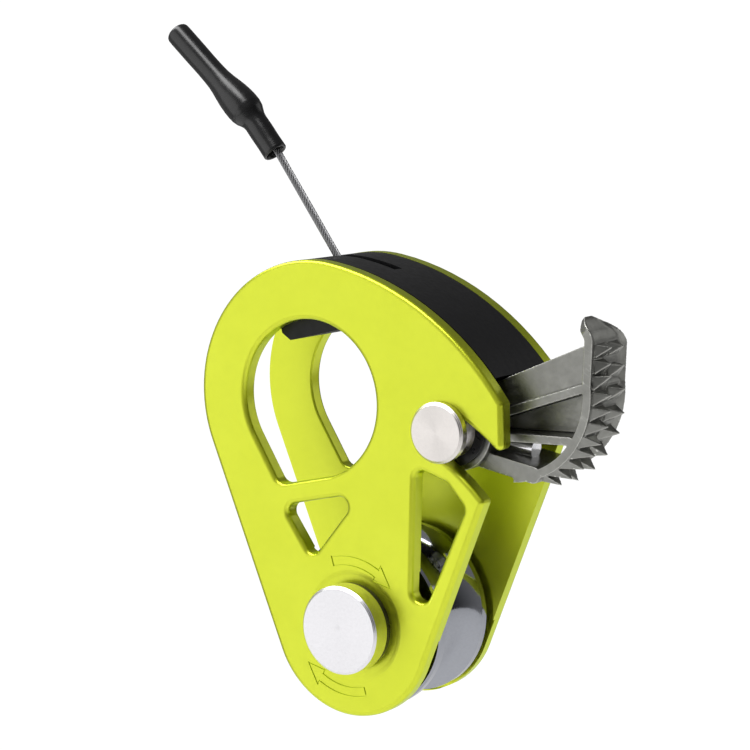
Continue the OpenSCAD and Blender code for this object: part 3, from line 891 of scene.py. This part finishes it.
# The thumb end is cut at a slant: its far side stops short of its near side
TIP_LEN = 4.9
TIP_SLANT = 5.9
TIP_POWER = 1.15
TIP_ROUND = 2.6
TIP_NARROW = 0.45
# Towards the thumb end the channel grows shallower, then fades out, and the shoe grows thinner
SPOON_RUN = 2.5
SPOON_LOSS = 0.25
FADE_END = 0.3
FADE_RUN = 2
THIN_RUN = 1.5
THIN_LOSS = 0.5
UPPER_RIB = ((27, 25.8), (42.2, 27.3))
MIDDLE_RIB = ((26.8, 23), (38.2, 20.6))
LOW_RIB = ((24, 20.2), (31.5, 16.9))
WEB_HALF = 4.4
THIN_WEB_HALF = 1
WEB_CORNER = on_circle(SHOE_C, SHOE_R - 0.6, math.radians(-20))
# Line, width and half depth of each rib
RIBS = (
    (TOP_RIB, RIB_W, WEB_HALF),
    (UPPER_RIB, RIB_W, SHOE_HALF),
    (MIDDLE_RIB, RIB_W, SHOE_HALF),
    (LOW_RIB, 2 * RIB_W, SHOE_HALF),
)
FERRULE_AT = Vector((27.6, 0, 20.9))
FERRULE_TURN = math.radians(20)
FERRULE_R = 1.35
FERRULE_LEN = 5
TOOTH_FROM = math.radians(-84)
TOOTH_TO = math.radians(14)
# Rows of each column of spikes, then y and length of its lowest spike and of its highest one
TOOTH_COLUMNS = (
    (11, (-2.45, -2.0375), (2.85, 1.6)),
    (8, (2.45, 1.6375), (2.85, 1.5)),
)
# Lean in degrees, width across the shoe and length along it, for the lowest and the highest spike
TOOTH_LEAN = (48, 12)
TOOTH_WIDE = (3.7, 2.6)
TOOTH_LONG = (2.3, 1.8)
# Levels of a spike's two square rings, both below the shoe's rope side
TOOTH_ROOTS = (-0.8, -0.35)
# Spikes differ a little from one to the next, in degrees of lean and in their share of length
UNEVEN_STEP = 2.4
UNEVEN_LEAN = 5
UNEVEN_LEN = 0.08
CAM_VOXEL = 0.1
CAM_RELAX = 6


def shoe_line(spacing=0.25):
    """Points along the rope side of the shoe with the direction it faces: arc, straight, curl, lip."""
    rows = []

    def run(count, place, facing):
        for i in range(count):
            t = i / count
            rows.append((Vector(place(t)), facing(t)))

    sweep = SHOE_TO - SHOE_FROM
    run(
        int(sweep * SHOE_R / spacing),
        lambda t: on_circle(SHOE_C, SHOE_R, SHOE_FROM + sweep * t),
        lambda t: SHOE_FROM + sweep * t,
    )
    a = Vector(on_circle(SHOE_C, SHOE_R, SHOE_TO))
    up = Vector((math.sin(THUMB_LEAN), math.cos(THUMB_LEAN)))
    run(int(THUMB_LEN / spacing), lambda t: a + up * THUMB_LEN * t, lambda t: -THUMB_LEAN)
    b = a + up * THUMB_LEN
    centre = b - CURL_R * Vector((math.cos(THUMB_LEAN), -math.sin(THUMB_LEAN)))
    run(
        int(CURL_TURN * CURL_R / spacing),
        lambda t: on_circle(centre, CURL_R, CURL_TURN * t - THUMB_LEAN),
        lambda t: CURL_TURN * t - THUMB_LEAN,
    )
    end = CURL_TURN - THUMB_LEAN
    c = Vector(on_circle(centre, CURL_R, end))
    lip = Vector((-math.sin(end), math.cos(end)))
    run(int(LIP_LEN / spacing) + 1, lambda t: c + lip * LIP_LEN * t, lambda t: end)
    return rows


def smooth(t):
    t = min(1, max(0, t))
    return t * t * (3 - 2 * t)


def between(ends, t):
    return ends[0] + t * (ends[1] - ends[0])


def solid_shoe():
    """The shoe as a shallow channel between two rims, which ends in a rounded spoon for the thumb."""
    rows = shoe_line()
    lengths = [0.0]
    for (p, _), (q, _) in zip(rows, rows[1:]):
        lengths.append(lengths[-1] + (q - p).length)
    verts, faces = [], []
    for (p, facing), length in zip(rows, lengths):
        out = Vector((math.cos(facing), math.sin(facing)))
        left_over = lengths[-1] - length
        near = -SHOE_HALF * (1 - TIP_NARROW * max(0, 1 - left_over / TIP_ROUND) ** 2)
        far = SHOE_HALF - TIP_SLANT * max(0, 1 - left_over / TIP_LEN) ** TIP_POWER
        deep = CHANNEL_LOW + CHANNEL_GAIN * smooth(length / CHANNEL_RUN)
        deep *= 1 - SPOON_LOSS * smooth((TIP_LEN + SPOON_RUN - left_over) / SPOON_RUN)
        deep *= smooth((left_over - FADE_END) / FADE_RUN)
        thick = SHOE_T - THIN_LOSS * smooth(1 - left_over / THIN_RUN)
        rope, back = [], []
        for k in range(SHOE_COLUMNS + 1):
            t = 2 * k / SHOE_COLUMNS - 1
            y = (near + far) / 2 + t * (far - near) / 2
            q = p - out * deep * smooth((1 - abs(t)) * SHOE_HALF / SHOE_RIM)
            rope.append((q.x, y, q.y))
            q = p - out * (thick + BACK_BULGE * (1 - abs(t)))
            back.append((q.x, y, q.y))
        verts += rope + back[::-1]
    ring_len = 2 * (SHOE_COLUMNS + 1)
    for i in range(len(rows) - 1):
        for k in range(ring_len):
            a, b = i * ring_len + k, i * ring_len + (k + 1) % ring_len
            faces.append((a, b, b + ring_len, a + ring_len))
    for start in (0, (len(rows) - 1) * ring_len):
        end = start + ring_len - 1
        faces += [(start + k, start + k + 1, end - k - 1, end - k) for k in range(SHOE_COLUMNS)]
    return verts, faces


def solid_tooth(foot, facing, y, wide, long, height, lean):
    """A four-sided spike with a sharp tip, on a point of the shoe that faces a direction."""
    out = Vector((math.cos(facing), 0, math.sin(facing)))
    along = Vector((-math.sin(facing), 0, math.cos(facing)))
    base = Vector((foot[0], y, foot[1]))
    verts = []
    for level in TOOTH_ROOTS:
        for a, b in ((-1, -1), (1, -1), (1, 1), (-1, 1)):
            verts.append(tuple(base + out * level + along * a * long / 2 + Y_AXIS * b * wide / 2))
    verts.append(tuple(base + height * (out * math.cos(lean) + along * math.sin(lean))))
    faces = [(0, 1, 2, 3)]
    for k in range(4):
        after = (k + 1) % 4
        faces.append((k, after, 4 + after, 4 + k))
        faces.append((4 + k, 4 + after, 8))
    return verts, faces


def solid_teeth():
    teeth = []
    thumb = Vector((math.sin(THUMB_LEAN), math.cos(THUMB_LEAN)))
    for rows, places, heights in TOOTH_COLUMNS:
        for i in range(rows):
            up = i / (rows - 1)
            angle = between((TOOTH_FROM, TOOTH_TO), up)
            facing = min(angle, SHOE_TO)
            foot = Vector(on_circle(SHOE_C, SHOE_R, facing)) + thumb * (angle - facing) * SHOE_R
            uneven = math.sin(UNEVEN_STEP * (i + rows))
            lean = math.radians(between(TOOTH_LEAN, up) + UNEVEN_LEAN * uneven)
            height = between(heights, up) * (1 + UNEVEN_LEN * uneven)
            size = (between(TOOTH_WIDE, up), between(TOOTH_LONG, up), height)
            teeth.append(solid_tooth(foot, facing, between(places, up), *size, lean))
    return teeth


def capsule(a, b, width):
    """Outline of a bar with round ends."""
    turn = turn_of(b, a)
    left, right = turn + math.pi / 2, turn - math.pi / 2
    return arc(a, width / 2, left, left + math.pi) + arc(b, width / 2, right, left)


def make_cam(look):
    parts = [solid_shoe()] + solid_teeth()
    for line, width, half in RIBS:
        parts.append(solid_slab([(spread(capsule(*line, width), 2), 0, 0)], -half, half))
    web = [*UPPER_RIB, TOP_RIB[1], TOP_RIB[0]]
    parts.append(solid_slab([(web, 0, 0)], -WEB_HALF, WEB_HALF))
    thin_web = [*MIDDLE_RIB, WEB_CORNER, UPPER_RIB[1], UPPER_RIB[0]]
    parts.append(solid_slab([(thin_web, 0, 0)], -THIN_WEB_HALF, THIN_WEB_HALF))
    low, high = SPRING_ROOM
    for y0, y1 in ((-CAM_HALF, low), (high, CAM_HALF)):
        parts.append(solid_turned([(CAM_BORE, y0), (HUB_R, y0), (HUB_R, y1), (CAM_BORE, y1)], PIN))
    cam = mesh_object("cam_casting", joined(*parts))
    remesh = cam.modifiers.new("fuse", "REMESH")
    remesh.mode = "VOXEL"
    remesh.voxel_size = CAM_VOXEL * MM
    relax = cam.modifiers.new("relax", "SMOOTH")
    relax.factor = 0.5
    relax.iterations = CAM_RELAX
    bake_modifiers(cam)
    way = Vector((math.cos(FERRULE_TURN), 0, -math.sin(FERRULE_TURN))) * (FERRULE_LEN / 2)
    carve(cam, solid_tube([FERRULE_AT - way, FERRULE_AT + way], [FERRULE_R] * 2, sides=32))
    finish_piece(cam, look, "cam_body", "cam_cast", "cam", sharp=50)


AXLE_CENTRE = (0, 0, 0)
PIN_CENTRE = (PIN[0] * MM, 0, PIN[1] * MM)
FINE_RINGS = 0.16 * MM
COARSE_RINGS = 0.2 * MM

make_camera()
make_light()
make_floor()

dress(
    ["sheave_axle", "axle_cap"],
    turned_look("axle_steel", (0.84, 0.83, 0.855), 0.3, AXLE_CENTRE, FINE_RINGS, brushed=0.3),
)
dress(["cam_pin"], turned_look("pin_steel", (0.80, 0.76, 0.73), 0.32, PIN_CENTRE, FINE_RINGS))
dress(
    ["sheave"],
    turned_look("sheave_alloy", (0.36, 0.37, 0.405), 0.09, AXLE_CENTRE, COARSE_RINGS, brushed=0.2),
)
dress(
    ["plate_bush", "thrust_washers", "cam_washers"],
    plastic_look("bush_acetal", (0.008, 0.008, 0.009), 0.3, grain_scale=3000),
)
dress(["bearing_seals"], plastic_look("seal_rubber", (0.012, 0.012, 0.012), 0.6, grain_scale=3000))
dress(["spacer_screws", "bearing_circlip"], steel_look("screw_steel", (0.42, 0.42, 0.43), 0.3))
dress(
    ["bearing_outer_race", "bearing_inner_race", "bearing_balls", "axle_sleeves", "cam_bush"],
    steel_look("ground_steel", (0.62, 0.62, 0.64), 0.15),
)
dress(["bearing_cage"], steel_look("cage_brass", (0.72, 0.5, 0.2), 0.3))
dress(["wire_ferrule", "grip_stop"], steel_look("plated_steel", (0.9, 0.9, 0.93), 0.12))
wire_steel = steel_look("wire_steel", (0.4, 0.4, 0.41), 0.3)
dress(["channel_wire", "hub_wire", "cam_spring"], wire_steel)

lime = lime_look()
nylon = plastic_look(
    "spacer_nylon", (0.003, 0.003, 0.0035), 0.45, grain_scale=4200, grain=0.12, gloss=0.3
)
sleeve = plastic_look(
    "grip_sleeve", (0.0015, 0.0015, 0.002), 0.28, grain_scale=1800, grain=0.02, gloss=0.7
)
# The cam's colour has painted shade in its hollows and a painted highlight on its edges
cast = cast_look(
    "cam_cast", painted_hollow_shade=(0.05, 0.05, 0.046), flat=(0.29, 0.29, 0.27), painted_edge_highlight=(0.66, 0.66, 0.62)
)
make_back_plate(lime)
make_front_plate(lime)
make_spacer(nylon)
make_wire(wire_steel)
make_grip(sleeve)
make_cam(cast)
